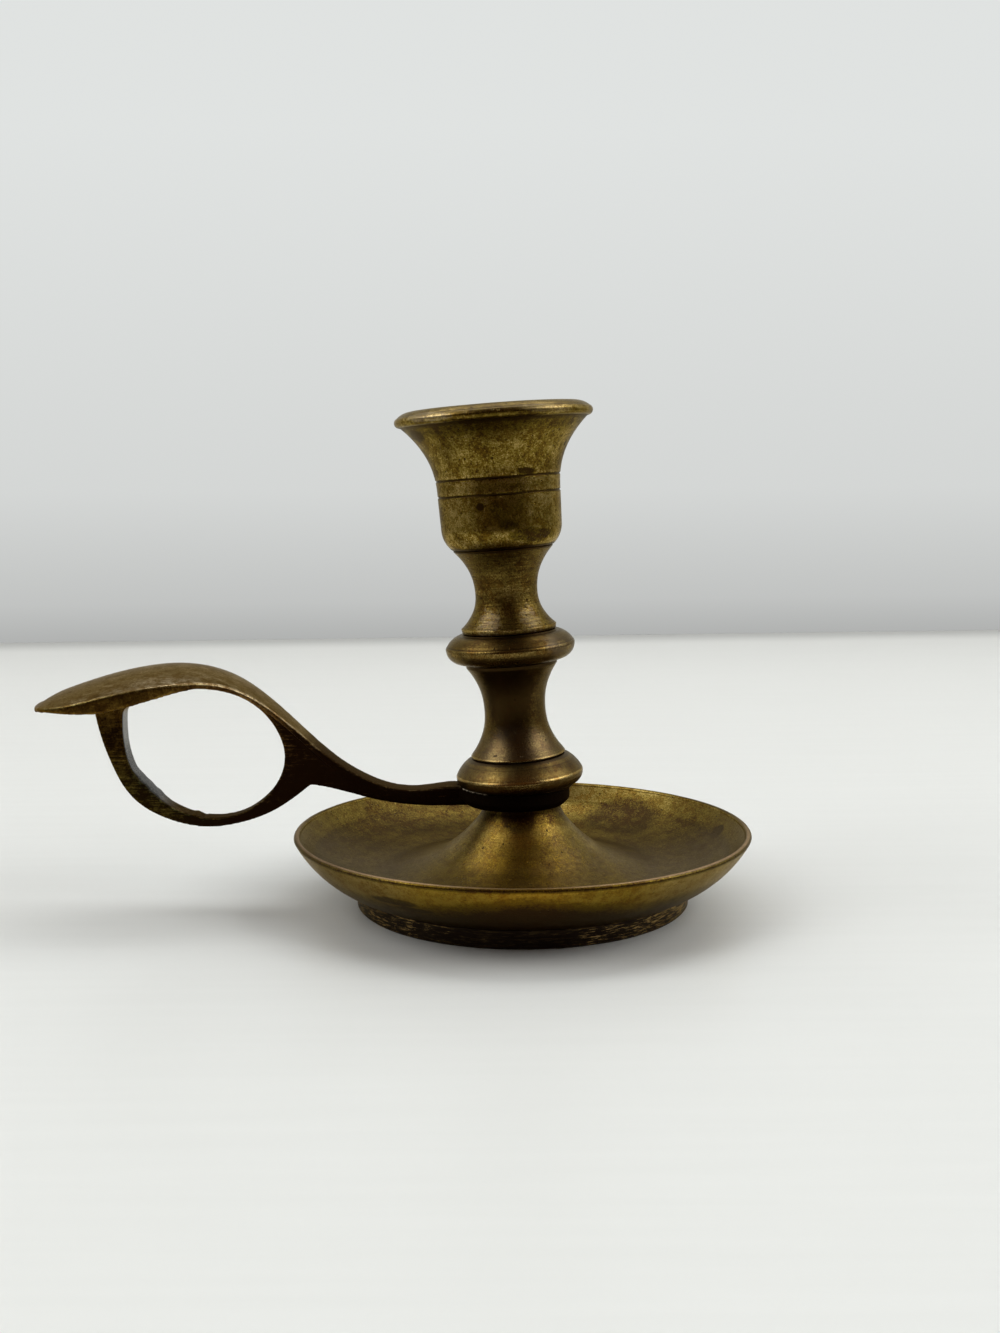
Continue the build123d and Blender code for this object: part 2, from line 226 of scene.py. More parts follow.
painted_board, tree, shader = new_material("painted_board")
place = put(tree, "ShaderNodeTexCoord", out="Object")
x, y, z = coordinates(tree, place)
grain = clouds(tree, stretched(tree, place, (9, 160, 1)), 1.6, 5, 0.5)
paint = ramp(tree, grain + 0.5, [(0.30, paint_low), (0.70, paint_high)])
# Painted light: the board is lighter further back. Painted shade: a soft dark strip along the wall
painted_far_light = y.fade(0.05, 0.40, 1, 1.05)
painted_wall_shade = (x * -wall_slant + y).fade(
    wall_distance - soft_edge, wall_distance, 1, wall_shade_dim, interpolation_type="SMOOTHSTEP"
)
paint = {0: paint, "Scale": painted_far_light * painted_wall_shade}
relief = {"Height": grain, "Strength": 0.12, "Distance": 0.0004}
plug(tree, shader, {
    "Base Color": put(tree, "ShaderNodeVectorMath", paint, operation="SCALE"),
    "Normal": put(tree, "ShaderNodeBump", relief),
    "Roughness": 0.42,
    "Specular IOR Level": 0.35,
})
# Out of the picture the board mirrors in the brass as the dim room does
aside = abs(x).fade(0.26, 0.48, 0, 0.6)
in_front = y.fade(lit_front, lit_front - 0.06)
unseen = 1 - put(tree, "ShaderNodeLightPath", out="Is Camera Ray")
dark_floor = put(tree, "ShaderNodeBsdfDiffuse", {"Color": room_dim})
surface(tree, aside.max(in_front) * unseen, shader.outputs[0], dark_floor)

pale_wall, tree, shader = new_material("pale_wall")
x, y, z = coordinates(tree, put(tree, "ShaderNodeTexCoord", out="Object"))
# Painted shade: the wall is darker towards its foot
painted_wall_shading = [(0.0, wall_foot), (0.075, wall_low), (0.30, wall_middle), (1.0, wall_top)]
tone = ramp(tree, z.fade(0, grey_rise), painted_wall_shading)
ray = add(tree, "ShaderNodeLightPath").outputs
seen = Wire(tree, ray["Is Camera Ray"]).max(ray["Is Glossy Ray"])
lit = put(tree, "ShaderNodeBsdfDiffuse", {"Color": tone})
surface(tree, seen, lit, put(tree, "ShaderNodeEmission", {"Color": tone}))

left, right = -table_half_width, table_half_width
far_left, far_right = wall_distance + wall_slant * left, wall_distance + wall_slant * right
near_corners = [(left, table_front, 0), (right, table_front, 0)]
far_corners = [(left, far_left, 0), (right, far_right, 0)]
top_corners = [(right, far_right, wall_height), (left, far_left, wall_height)]
stage_sheet("table", near_corners + far_corners[::-1], painted_board)
stage_sheet("wall", far_corners + top_corners, pale_wall)


# The light. Two broad windows stand to the left and the right, a weaker light hangs above and
# behind, and the room behind the camera is dim, which puts the dark stripe down the stem.
def window(name, place, target, width, height, power):
    """A soft rectangular light that faces a point of the object."""
    light = bpy.data.lights.new(name, "AREA")
    light.shape = "RECTANGLE"
    light.size = width
    light.size_y = height
    light.energy = power
    lamp = bpy.data.objects.new(name, light)
    lamp.location = place
    lamp.rotation_euler = (Vector(target) - Vector(place)).to_track_quat("-Z", "Y").to_euler()
    scene.collection.objects.link(lamp)


window("left_window", (-0.92, -0.22, 0.86), (0, 0, 0.05), 0.9, 0.7, 5.2)
window("right_window", (0.94, -0.20, 0.82), (0, 0, 0.05), 0.9, 0.7, 6.0)
window("ceiling", (0.0, 0.46, 0.95), (0, 0, 0.0), 1.3, 0.5, 5.0)

room_side = (0.06, 0.055, 0.05)
room_bright = (0.80, 0.83, 0.84)
world = bpy.data.worlds.new("room")
scene.world = world
world.use_nodes = True
tree = world.node_tree
tree.nodes.clear()
x, y, z = coordinates(tree, put(tree, "ShaderNodeTexCoord", out="Generated"))
away = abs(x) * 0.9 + y
tone = ramp(tree, away, [(0.0, room_dim), (0.10, room_side), (0.34, room_bright)])
room = put(tree, "ShaderNodeBackground", {"Color": tone, "Strength": z.fade(0, 0.5, 0.32, 1)})
plain = put(tree, "ShaderNodeBackground", {"Color": wall_top})
seen = put(tree, "ShaderNodeLightPath", out="Is Camera Ray")
both = put(tree, "ShaderNodeMixShader", {0: seen, 1: room, 2: plain})
add(tree, "ShaderNodeOutputWorld", {"Surface": both})


# The drip dish: a cast dish turned all over, with its foot ring beneath, a thin rounded rim
# and the cone that carries the handle. It is hollow under the cone. Brown inside, golden
# outside below the rim, and the foot ring is black with brassy scratches.
mm = 0.001


def bow(start, middle, end, steps=14):
    """The arc through three points of a section, without its last point."""
    a, b, c = (Vector(point) for point in (start, middle, end))
    ab, ac = b - a, c - a
    turn = 2 * (ab.x * ac.y - ab.y * ac.x)
    across = Vector((
        (ac.y * ab.length_squared - ab.y * ac.length_squared) / turn,
        (ab.x * ac.length_squared - ac.x * ab.length_squared) / turn,
    ))
    centre = a + across
    first, second, last = (math.atan2(*reversed(point - centre)) for point in (a, b, c))
    sweep = (last - first) % math.tau
    if (second - first) % math.tau > sweep:
        sweep -= math.tau
    turns = [first + sweep * step / steps for step in range(steps)]
    radius = across.length
    return [(centre.x + radius * math.cos(t), centre.y + radius * math.sin(t)) for t in turns]


def flowing(points, steps=9):
    """A smooth line through points of a section, without its last point."""
    p = [Vector((r, 0, z)) for r, z in points]
    reach = [2 * p[0] - p[1], *p, 2 * p[-1] - p[-2]]
    line = []
    for before, start, end, after in zip(reach, reach[1:], reach[2:], reach[3:]):
        run = (end - start).length
        leave = (end - before) / ((start - before).length + run) * run / 3
        arrive = (after - start) / ((after - end).length + run) * run / 3
        line += interpolate_bezier(start, start + leave, end - arrive, end, steps)[:-1]
    return [(point.x, point.z) for point in line]


def node_tree(name, kind, inputs, outputs):
    """An empty node group with named sockets, as (tree, its inputs by name, its output node)."""
    tree = bpy.data.node_groups.new(name, kind)
    for way, sockets in (("INPUT", inputs), ("OUTPUT", outputs)):
        for socket, form in sockets.items():
            tree.interface.new_socket(socket, in_out=way, socket_type="NodeSocket" + form)
    outlets = tree.nodes.new("NodeGroupInput").outputs
    given = {socket: Wire(tree, outlets[socket]) for socket in inputs}
    return tree, given, tree.nodes.new("NodeGroupOutput")


def stored(tree, geometry, name, value, form="FLOAT"):
    """The geometry with a value of each point stored under a name."""
    feeds = {"Geometry": geometry, "Name": name, "Value": value}
    return put(tree, "GeometryNodeStoreNamedAttribute", feeds, data_type=form)


def stored_value(tree, name):
    """The value that was stored under a name."""
    return put(tree, "GeometryNodeInputNamedAttribute", {"Name": name}, data_type="FLOAT")


def moved_out(tree, geometry, amount):
    """The geometry with each point moved out along its normal."""
    normal = put(tree, "GeometryNodeInputNormal")
    offset = put(tree, "ShaderNodeVectorMath", {0: normal, "Scale": amount}, operation="SCALE")
    return put(tree, "GeometryNodeSetPosition", {"Geometry": geometry, "Offset": offset})


def end_with(tree, geometry, material, made):
    """End a geometry tree with smooth, real geometry in the piece's material."""
    smooth = put(tree, "GeometryNodeSetShadeSmooth", {"Geometry": geometry})
    real = put(tree, "GeometryNodeRealizeInstances", {"Geometry": smooth})
    feeds = {"Geometry": real, "Material": material}
    plug(tree, made, {"Piece": put(tree, "GeometryNodeSetMaterial", feeds)})


# Geometry nodes that turn a section, drawn as (radius, 0, height), all the way round Z.
# Worn edge rounds its corners. No turned work is quite true: Wobble moves the surface in and
# out over patches of the size Patch. 'turning' keeps where the tool stood, for its marks.
lathe, given, made = node_tree(
    "turned_on_the_lathe",
    "GeometryNodeTree",
    {
        "Section": "Geometry",
        "Sides": "Int",
        "Worn edge": "Float",
        "Wobble": "Float",
        "Patch": "Float",
        "Finish": "Material",
    },
    {"Piece": "Geometry"},
)
line = put(lathe, "GeometryNodeMeshToCurve", {"Mesh": given["Section"]})
corners = {"Curve": line, "Radius": given["Worn edge"], "Count": 3, "Limit Radius": True}
fillet = put(lathe, "GeometryNodeFilletCurve", corners, mode="POLY")
travel = put(lathe, "GeometryNodeSplineParameter", out="Length")
measured = stored(lathe, fillet, "travel", travel)
section = put(lathe, "GeometryNodeCurveToMesh", {"Curve": measured})
points = put(lathe, "GeometryNodeAttributeDomainSize", {"Geometry": section}, "Point Count")
size = {"Vertices X": given["Sides"] + 1, "Vertices Y": points}
grid = put(lathe, "GeometryNodeMeshGrid", size, "Mesh")
index = put(lathe, "GeometryNodeInputIndex")
ring = index % points
side = ((index + 0.5) / points).calc("FLOOR")
angle = side / given["Sides"] * math.tau


def sampled(value, form="FLOAT"):
    """A value of the section at the point that stands for this one."""
    feeds = {"Geometry": section, "Value": value, "Index": ring}
    return put(lathe, "GeometryNodeSampleIndex", feeds, data_type=form)


drawn = sampled(put(lathe, "GeometryNodeInputPosition"), "FLOAT_VECTOR")
swing = {"Vector": drawn, "Angle": angle}
swung = put(lathe, "ShaderNodeVectorRotate", swing, rotation_type="Z_AXIS")
shell = put(lathe, "GeometryNodeSetPosition", {"Geometry": grid, "Position": swung})
travelled = sampled(stored_value(lathe, "travel"))
tool = {"X": angle.calc("COSINE"), "Y": angle.calc("SINE"), "Z": travelled}
tool = put(lathe, "ShaderNodeCombineXYZ", tool)
marked = stored(lathe, shell, "turning", tool, "FLOAT_VECTOR")
closed = put(lathe, "GeometryNodeMergeByDistance", {"Geometry": marked, "Distance": 2e-6})
patch_scale = put(lathe, "ShaderNodeMath", {0: 1, 1: given["Patch"]}, operation="DIVIDE")
uneven = put(lathe, "ShaderNodeTexNoise", {"Scale": patch_scale, "Detail": 2}) - 0.5
end_with(lathe, moved_out(lathe, closed, uneven * given["Wobble"]), given["Finish"], made)


def plain_mesh(blank, tree, values):
    """The mesh that a node tree makes of an object, by the names of the tree's inputs."""
    modifier = blank.modifiers.new("made", "NODES")
    modifier.node_group = tree
    for socket in tree.interface.items_tree:
        if socket.in_out == "INPUT" and socket.name in values:
            modifier[socket.identifier] = values[socket.name]
    return evaluated(blank)


def evaluated(blank):
    """The mesh of an object after its modifiers. The object goes."""
    bpy.context.view_layer.update()
    graph = bpy.context.evaluated_depsgraph_get()
    mesh = bpy.data.meshes.new_from_object(blank.evaluated_get(graph))
    bpy.data.objects.remove(blank)
    return mesh


def drawing(name, points):
    """An object whose mesh is one open line through points."""
    mesh = bpy.data.meshes.new(name + "_line")
    mesh.from_pydata(points, [(i, i + 1) for i in range(len(points) - 1)], [])
    return linked(name + "_blank", mesh)


def linked(name, mesh):
    """A new object of the scene with this mesh."""
    made = bpy.data.objects.new(name, mesh)
    scene.collection.objects.link(made)
    return made


def turned(name, section, place, material, sides=176):
    """Turn a section on the lathe and set it in its place."""
    blank = drawing(name, [(radius * mm, 0, height * mm) for radius, height in section])
    worn = {"Worn edge": 0.00018, "Wobble": 0.00009, "Patch": 0.011}
    mesh = plain_mesh(blank, lathe, {**worn, "Sides": sides, "Finish": material})
    tidy = bmesh.new()
    tidy.from_mesh(mesh)
    bmesh.ops.dissolve_degenerate(tidy, dist=1e-7, edges=tidy.edges)
    bmesh.ops.recalc_face_normals(tidy, faces=tidy.faces)
    tidy.to_mesh(mesh)
    tidy.free()
    mesh.transform(place)
    return mesh


def points_of(mesh):
    """The places of a mesh's points and their directions outward."""
    places, outward = np.empty(len(mesh.vertices) * 3), np.empty(len(mesh.vertices) * 3)
    mesh.vertices.foreach_get("co", places)
    mesh.vertex_normals.foreach_get("vector", outward)
    return places.reshape(-1, 3), outward.reshape(-1, 3)


def worn_places(mesh, passes=3, sharp=700):
    """Write, from 0 to 1, how far each point stands proud as an 'edge' or lies in a 'hollow',
    and how far it faces 'upward' or 'sideways'. A bend as tight as sharp, per metre, is 1."""
    place, outward = points_of(mesh)
    count = len(place)
    ends = np.empty(len(mesh.edges) * 2, int)
    mesh.edges.foreach_get("vertices", ends)
    one, other = ends.reshape(-1, 2).T
    near, far = np.concatenate([one, other]), np.concatenate([other, one])
    step = place[far] - place[near]
    fall = -(step * outward[near]).sum(1) / np.maximum((step**2).sum(1), 1e-10)
    neighbours = np.maximum(np.bincount(near, minlength=count), 1)
    bend = np.bincount(near, fall, count) / neighbours
    for _ in range(passes):
        bend = (bend + np.bincount(near, bend[far], count) / neighbours) / 2
    for name, value in (
        ("edge", bend / sharp),
        ("hollow", -bend / sharp),
        ("upward", outward[:, 2]),
        ("sideways", np.abs(outward[:, 1])),
    ):
        held = np.clip(value, 0, 1)
        mesh.attributes.new(name, "FLOAT", "POINT").data.foreach_set("value", held)


def finished(mesh, node):
    """Make a finished piece of a mesh, which stands for its CAD node."""
    worn_places(mesh)
    mesh.name = node + "_piece"
    piece = linked(node + "_piece", mesh)
    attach(piece, "root")
    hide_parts(node)


def mix(tree, share, under, over, way="MIX"):
    """One colour laid over another, by a share."""
    feeds = {0: share, 6: under, 7: over}
    return put(tree, "ShaderNodeMix", feeds, 2, data_type="RGBA", blend_type=way)


def scattered(tree, place, scale, start, end, rare):
    """Round specks, 1 in their middle and 0 outside, in the rarer cells of a random grid."""
    cells = add(tree, "ShaderNodeTexVoronoi", {"Vector": place, "Scale": scale}).outputs
    chosen = put(tree, "ShaderNodeSeparateColor", {0: cells["Color"]}) > rare
    return Wire(tree, cells["Distance"]).fade(start, end, 1, 0) * chosen


# Shader nodes for brass that has darkened with age and handling. Place is in millimetres.
# Tarnish sets how dark it is, Blotch, Speckle and Lines how uneven, and the stain input darkens a
# spot:
# stains, and in places painted shade. Edges are rubbed bright by Wear, corners hold grime, and the
# bare input lightens a spot: bared metal, and in places painted light.
sorts = {
    "Vector": ("Place", "Turning"),
    "Color": ("Bright", "Olive", "Dark"),
    "Float": (
        *("Edge", "Hollow", "Darken", "Lighten", "Tarnish", "Blotch"),
        *("Speckle", "Veins", "Lines", "Wear", "Gloss"),
    ),
}
reddish_cast = (1.0, 0.76, 0.48)
brass, given, made = node_tree(
    "darkened_brass",
    "ShaderNodeTree",
    {name: form for form, names in sorts.items() for name in names},
    {"Color": "Color", "Roughness": "Float", "Metallic": "Float", "Height": "Float"},
)
place = given["Place"]
# Clouds of every size, from broad patches down to grain, and the marks of the turning tool
broad = clouds(brass, place, 0.09, 4.0, 0.6)
patchy = clouds(brass, place, 0.42, 5.0, 0.62)
fine = clouds(brass, place, 2.6, 3.0, 0.7)
grain = clouds(brass, place, 3.4, 2.0, 0.8)
tooled = clouds(brass, stretched(brass, given["Turning"], (1.4, 1.4, 2600)), 1.0, 4.0, 0.75)
# Veins, ragged patches, specks and pits
vein = abs(clouds(brass, place, 0.30, 5.0, 0.7)).fade(0, 0.035, 1, 0)
vein = (vein * (broad * 2.5 + 0.45)).clamped()
blend = clouds(brass, place, 1.8, 4.0, 0.75) * 0.9 + patchy
patches = blend.fade(-0.03, 0.10)
specks = grain.fade(0.07, 0.20) * 0.5 - grain.fade(-0.09, -0.22) * 0.42
pit = (scattered(brass, place, 0.75, 0.07, 0.19, 0.62) * given["Speckle"]).clamped()
# How deep the tarnish is at each point, from 0 for bare brass to 1 for nearly black
uneven = (broad * 1.3 + blend + patches * 0.30 - 0.12) * given["Blotch"]
uneven += (fine * 0.8 + specks) * given["Speckle"] + tooled * given["Lines"]
rubbed = given["Edge"] * (patchy * given["Wear"] + given["Wear"])
depth = given["Tarnish"] + uneven + given["Hollow"] * 0.7 + pit * 0.6 + given["Darken"]
depth = (depth + vein * given["Veins"] - rubbed - given["Lighten"]).clamped()
# Its colour goes from bright by way of olive to dark, with a reddish cast in patches
skin = mix(brass, depth.fade(0, 0.5), given["Bright"], given["Olive"])
skin = mix(brass, depth.fade(0.45, 1), skin, given["Dark"])
reddish = (patches * (broad * 1.6 + 0.55)).clamped()
skin = mix(brass, reddish, skin, reddish_cast, "MULTIPLY")
relief = patchy * 0.10 + fine * 0.10 + grain * 0.12 + tooled * given["Lines"] * 0.5
plug(brass, made, {
    "Color": skin,
    "Roughness": (depth * 0.14 + 0.48 - given["Gloss"] + fine * 0.12).clamped(),
    "Metallic": depth.fade(0.3, 1, 1.0, 0.9),
    "Height": relief - pit * 0.5 - given["Lighten"] * 0.25,
})

# Shader nodes for one spot: how far Place lies inside a ragged blob about Centre, of half
# sizes Reach, from 0 outside to 1 well inside.
spot, given, made = node_tree(
    "ragged_spot",
    "ShaderNodeTree",
    {"Place": "Vector", "Centre": "Vector", "Reach": "Vector", "Ragged": "Float"},
    {"Mask": "Float"},
)
away = {0: given["Place"], 1: given["Centre"]}
away = put(spot, "ShaderNodeVectorMath", away, operation="SUBTRACT")
share = put(spot, "ShaderNodeVectorMath", {0: away, 1: given["Reach"]}, operation="DIVIDE")
far_out = put(spot, "ShaderNodeVectorMath", {0: share}, "Value", operation="LENGTH")
torn = clouds(spot, given["Place"], 0.9, 4.0, 0.65) * given["Ragged"]
plug(spot, made, {"Mask": (torn + far_out).fade(0.75, 1.1, 1, 0)})

usual_torn, usual_veins = 0.9, 0.2
tarnished_sheen = (0.74, 0.67, 0.54)
bright_brass = (0.40, 0.285, 0.100)
olive_brass = (0.152, 0.104, 0.017)
dark_brass = (0.030, 0.015, 0.0016)


def spots(tree, place, marks):
    """The deepest of several spots, in millimetres: (centre, reach, strength) and how ragged."""
    total = 0.0
    for centre, reach, strength, *torn in marks:
        feeds = {"Place": place, "Centre": centre, "Reach": reach}
        feeds["Ragged"] = torn[0] if torn else usual_torn
        total = (put(tree, "ShaderNodeGroup", feeds, node_tree=spot) * strength).max(total)
    return total


def attribute(tree, name, out="Fac"):
    """What is written on the mesh under this name."""
    return put(tree, "ShaderNodeAttribute", out=out, attribute_name=name)


def in_millimetres(tree):
    """The place on the object in millimetres."""
    place = put(tree, "ShaderNodeTexCoord", out="Object")
    return stretched(tree, place, (1000, 1000, 1000))


def brass_finish(name, bright=bright_brass, olive=olive_brass, dark=dark_brass, film=0.0, **values):
    """A brass material, as (material, tree, brass node, place in millimetres, shader)."""
    material, tree, shader = new_material(name)
    place = in_millimetres(tree)
    metal = add(tree, "ShaderNodeGroup", {"Veins": usual_veins, **values}, node_tree=brass)
    plug(tree, metal, {
        "Place": place,
        "Turning": attribute(tree, "turning", "Vector"),
        "Edge": attribute(tree, "edge"),
        "Hollow": attribute(tree, "hollow"),
        "Bright": bright,
        "Olive": olive,
        "Dark": dark,
    })
    bumps = {"Height": metal.outputs["Height"], "Strength": 0.9, "Distance": 0.00018}
    plug(tree, shader, {
        "Base Color": metal.outputs["Color"],
        "Roughness": metal.outputs["Roughness"],
        "Metallic": metal.outputs["Metallic"],
        "Normal": put(tree, "ShaderNodeBump", bumps),
        "Specular Tint": tarnished_sheen,
        "Coat Weight": film,
        "Coat Roughness": 0.40,
    })
    return material, tree, metal, place, shader


foot_black = (0.014, 0.007, 0.0035)
foot_scratch = (0.44, 0.29, 0.105)
foot_top, foot_black_below = 4.6, 3.9
rim_top, under_rim, rim_shade_from = 15.55, 15.0, 47.4
rim_rub_and_highlight = (0.42, 0.27, 0.15)
dust = (0.205, 0.16, 0.103)
brown_strength = 0.41
painted_front_warmth = (0.98, 0.88, 0.32)
painted_front_light = (1.28, 1.15, 0.90)
floor_of_dish = [(8.1, 20.9), (8.33, 19.68), (9.38, 17.77), (10.85, 16.07), (12.6, 14.26)]
floor_of_dish += [(14.79, 12.4), (18.96, 9.82), (27.5, 7.3), (32.94, 7.64), (38.17, 8.75)]
floor_of_dish += [(43.02, 11.2), (46.9, 14.95)]
under_the_cone = [(32.0, 3.05), (27.5, 5.2), (18.77, 7.38), (9.53, 13.01), (7.2, 16.0)]
dish_section = flowing(floor_of_dish) + bow((46.9, 14.95), (47.55, 15.6), (48.2, 14.95), 8)
dish_section += bow((48.2, 14.95), (42.67, 8.13), (35.2, 3.8), 24)
dish_section += [(35.2, 3.8), (35.2, 0.4), (34.8, 0.0), (32.4, 0.0), (32.0, 0.4)]
dish_section += flowing(under_the_cone) + [(7.2, 16.0), (2.8, 16.0), (2.8, 20.9), (8.1, 20.9)]
dish_stains_and_shade = [
    ((24, 32, 10), (9.5, 9.5, 5), 0.34, 0.25),
    ((-24, 36, 12), (22, 16, 7), 0.20),
    ((43, 9, 12), (1.6, 2.1, 3), 0.50),
    ((-36, 28, 13), (0.8, 0.9, 1), 0.30),
    ((-25, -38, 10.4), (6, 5, 0.9), 0.50),
    ((-21, -39, 9.0), (4, 5, 0.6), 0.40),
    # Painted shadow of the eye and collar on the top of the cone, then painted shade that tones
    # down the cone's highlights low in front and to the right
    ((0, 0, 20), (13, 13, 4.4), 0.36, 0.5),
    ((-1, -9, 19.6), (4.5, 5, 3.2), 0.60, 0.4),
    ((2, -18, 9.5), (24, 7, 3.0), 0.12),
    ((10, -14, 12), (9, 9, 7), 0.30, 0.5),
    ((2, -41, 14), (16, 6, 1.6), 0.16),
    ((0, -10, 15), (17, 10, 6.5), 0.07, 0.3),
]
dish_bare = [((6, 44, 13), (14, 6, 4), 0.10), ((22, 28.5, 10), (6.5, 6, 5), 0.15)]
dish_bare += [((-0.5, -11, 16.5), (3.5, 5, 3), 0.16)]

dish_finish, tree, metal, place, shader = brass_finish(
    "dish_brass_old",
    film=0.05,
    Tarnish=0.46,
    Blotch=0.30,
    Veins=0.06,
    Lines=0.25,
    Wear=0.0,
    Gloss=0.20,
)
x, y, z = coordinates(tree, place)
out, off_middle = (x * x + y * y).calc("SQRT"), abs(x)
# Brown on the floor round the cone and golden outside. Painted shade under the bowl in front
# and in a line under the rim in front
upward = attribute(tree, "upward")
on_floor = upward.fade(0.55, 0.80)
brown_floor = on_floor * out.fade(15, 26) * y.fade(16, 38, 1, 0.15)
middle = (off_middle * -0.05 + 1.0).clamped()
in_front = (y * -0.05 - 0.6).clamped()
shade_under_bowl = (middle * -3.6 + z).fade(6.5, 11.0, 0.9, 0) * in_front * (upward < 0.3)
golden_outside = (upward < 0.02) * (z > 5)
at_front = (y * -0.04 + 0.5).clamped()
rim_shade_line = abs(z - under_rim).fade(0.12, 0.5, 0.5, 0) * (out > rim_shade_from) * at_front
darker = brown_floor * brown_strength + spots(tree, place, dish_stains_and_shade) + rim_shade_line
plug(tree, metal, {
    "Hollow": (z < 12) * attribute(tree, "hollow"),
    "Speckle": golden_outside * -0.7 + 1.1,
    "Darken": darker - golden_outside * 0.15 + shade_under_bowl,
    "Lighten": spots(tree, place, dish_bare),
})
# Dust lies on the floor, as specks and as a thin layer
speck = scattered(tree, place, 0.9, 0.10, 0.26, 0.72) * 0.55
layer = (clouds(tree, place, 0.7, 5.0, 0.7) * 0.8 + 0.22).clamped()
dusty = on_floor * (y * -0.05 + 0.9).clamped()
skin = mix(tree, speck.max(layer) * dusty, metal.outputs["Color"], dust)
# In front it is painted golden and lighter, brighter still in the middle: painted light
forward = (y * -0.08 - 0.2).clamped()
for fall, reach, tint in ((-0.10, 2.9, painted_front_warmth), (-0.11, 1.35, painted_front_light)):
    painted_warmth = forward * (off_middle * fall + reach).clamped()
    skin = mix(tree, painted_warmth, skin, tint, "MULTIPLY")
# The top of the rim is rubbed pale in front, most of all to the sides: wear with a painted
# highlight on it
rubbed = z.fade(15.42, rim_top, 0, 0.75) * (out > 40) * at_front
rubbed *= (clouds(tree, place, 0.4) * 0.9 + 0.8).clamped()
rubbed *= (off_middle * 0.035 + 0.25).clamped()
skin = mix(tree, rubbed, skin, rim_rub_and_highlight)
# The foot ring is scratched level, more to the sides than in front
scratches = clouds(tree, stretched(tree, place, (0.30, 0.30, 3.8)), 1.0, 5.0, 0.8)
aside = (x * 0.0012 + off_middle * 0.0072 - 0.125).min(0.055)
aside += clouds(tree, place, 0.16, 3.0, 0.5) * 0.22
scratch = (scratches + aside).fade(0.07, 0.12).max(scratches.fade(0.02, 0.12, 0, 0.14))
black = ramp(tree, scratch, [(0.0, foot_black), (1.0, foot_scratch)])
below = (clouds(tree, place, 0.5, 4.0, 0.7) * 1.6 + z).fade(foot_top, foot_black_below)
plug(tree, shader, {
    "Base Color": mix(tree, below, skin, black),
    "Roughness": below * 0.06 + metal.outputs["Roughness"],
})
dish = turned("drip_dish", dish_section, Matrix.Identity(4), dish_finish, 224)
for vertex in dish.vertices:
    vertex.co.z = max(vertex.co.z, 0)
finished(dish, "drip_dish")


# The handle: one casting with an eye under the stem, a flat strap, a crowned leaf for the thumb
# and a finger loop beneath. Filed and worn smooth, the leaf greyer, the loop dark red-brown.
leaf_underside = 40.5
leaf_worn = (0.45, 0.385, 0.29)
leaf_grey = (0.121, 0.092, 0.058)
burr_glint_colour = (0.62, 0.54, 0.42)
leg_red = (0.016, 0.008, 0.0035)
loop_grey = (0.090, 0.088, 0.080)
loop_black = (0.020, 0.019, 0.017)
underside_shade_tint = (0.90, 0.55, 0.12)
edge_tint = (1.0, 0.85, 0.42)
leg_tint = (0.95, 1.0, 0.60)
foot_of_loop_tint = (1.05, 1.45, 1.0)
eye_shade_tint = (0.35, 0.42, 0.60)
handle_sheen = (0.74, 0.59, 0.38)
white = (1.0, 1.0, 1.0)


def cad_copy(node):
    """A merged copy of a CAD node's mesh."""
    mesh = frame["nodes"][node].data.copy()
    work = bmesh.new()
    work.from_mesh(mesh)
    bmesh.ops.remove_doubles(work, verts=work.verts, dist=1e-6)
    bmesh.ops.recalc_face_normals(work, faces=work.faces)
    work.to_mesh(mesh)
    work.free()
    return mesh


def reworked(name, mesh, material, *changes):
    """The mesh after these modifiers, each (kind, settings), with one material."""
    blank = linked(name + "_blank", mesh)
    for kind, settings in changes:
        modifier = blank.modifiers.new(kind, kind)
        for key, value in settings.items():
            setattr(modifier, key, value)
    made = evaluated(blank)
    made.materials.clear()
    made.materials.append(material)
    made.polygons.foreach_set("use_smooth", [True] * len(made.polygons))
    return made


def pushed(mesh, lumps):
    """Push a mesh out, or in, over ragged patches: (centre, reach, height) in millimetres."""
    place, outward = points_of(mesh)
    for centre, reach, height in lumps:
        off = np.linalg.norm((place / mm - centre) / np.array(reach), axis=1)
        for index in np.flatnonzero(off < 1):
            ragged = 0.9 + 0.35 * noise.noise(Vector(place[index]) * 350)
            place[index] += outward[index] * height * mm * (1 - off[index] ** 2) ** 2 * ragged
    mesh.vertices.foreach_set("co", place.ravel())
    mesh.update()


# Left by the mould and the file inside the loop: a lump low on the left, a step and a nick
loop_lumps = [
    ((-80.6, 0, 26.4), (3.0, 12, 3.4), 0.48),
    ((-78.6, 0, 24.2), (3.2, 12, 3.0), 0.52),
    ((-76.6, 0, 22.6), (2.6, 12, 2.4), 0.22),
    ((-79.4, 0, 25.2), (1.5, 12, 1.5), 0.22),
    ((-77.4, 0, 23.3), (1.2, 12, 1.2), 0.16),
    ((-69.2, 0, 19.0), (1.2, 12, 1.2), 0.30),
    ((-67.6, 0, 18.7), (0.7, 12, 0.8), -0.35),
]
# A ragged sliver of metal pressed up along the eye's top edge, in front of the collar
eye_burr = [(-12.8, -2.8), (-12.3, -4.4), (-11.4, -6.1), (-10.2, -7.6), (-8.8, -8.9), (-7.3, -9.9)]
loop_lumps += [((x, y, 24.9), (0.9, 0.9, 0.7), 0.7) for x, y in eye_burr]
# A painted highlight along the burr, pale as if it caught the light
burr_line = [(-12.3, -4.4), (-11.9, -5.2), (-11.4, -6.0), (-10.8, -6.8), (-10.1, -7.6)]
burr_line += [(-9.4, -8.3), (-8.6, -9.0), (-7.6, -9.7)]
burr_glint = [((x, y, 25.0), (0.75, 0.75, 0.42), 0.78, 1.1) for x, y in burr_line]
dark_corners = [((-79, 0, 25), (4, 6, 4), 1.3), ((-85.3, -2.4, 37.2), (0.8, 1.5, 0.6), 1.5)]

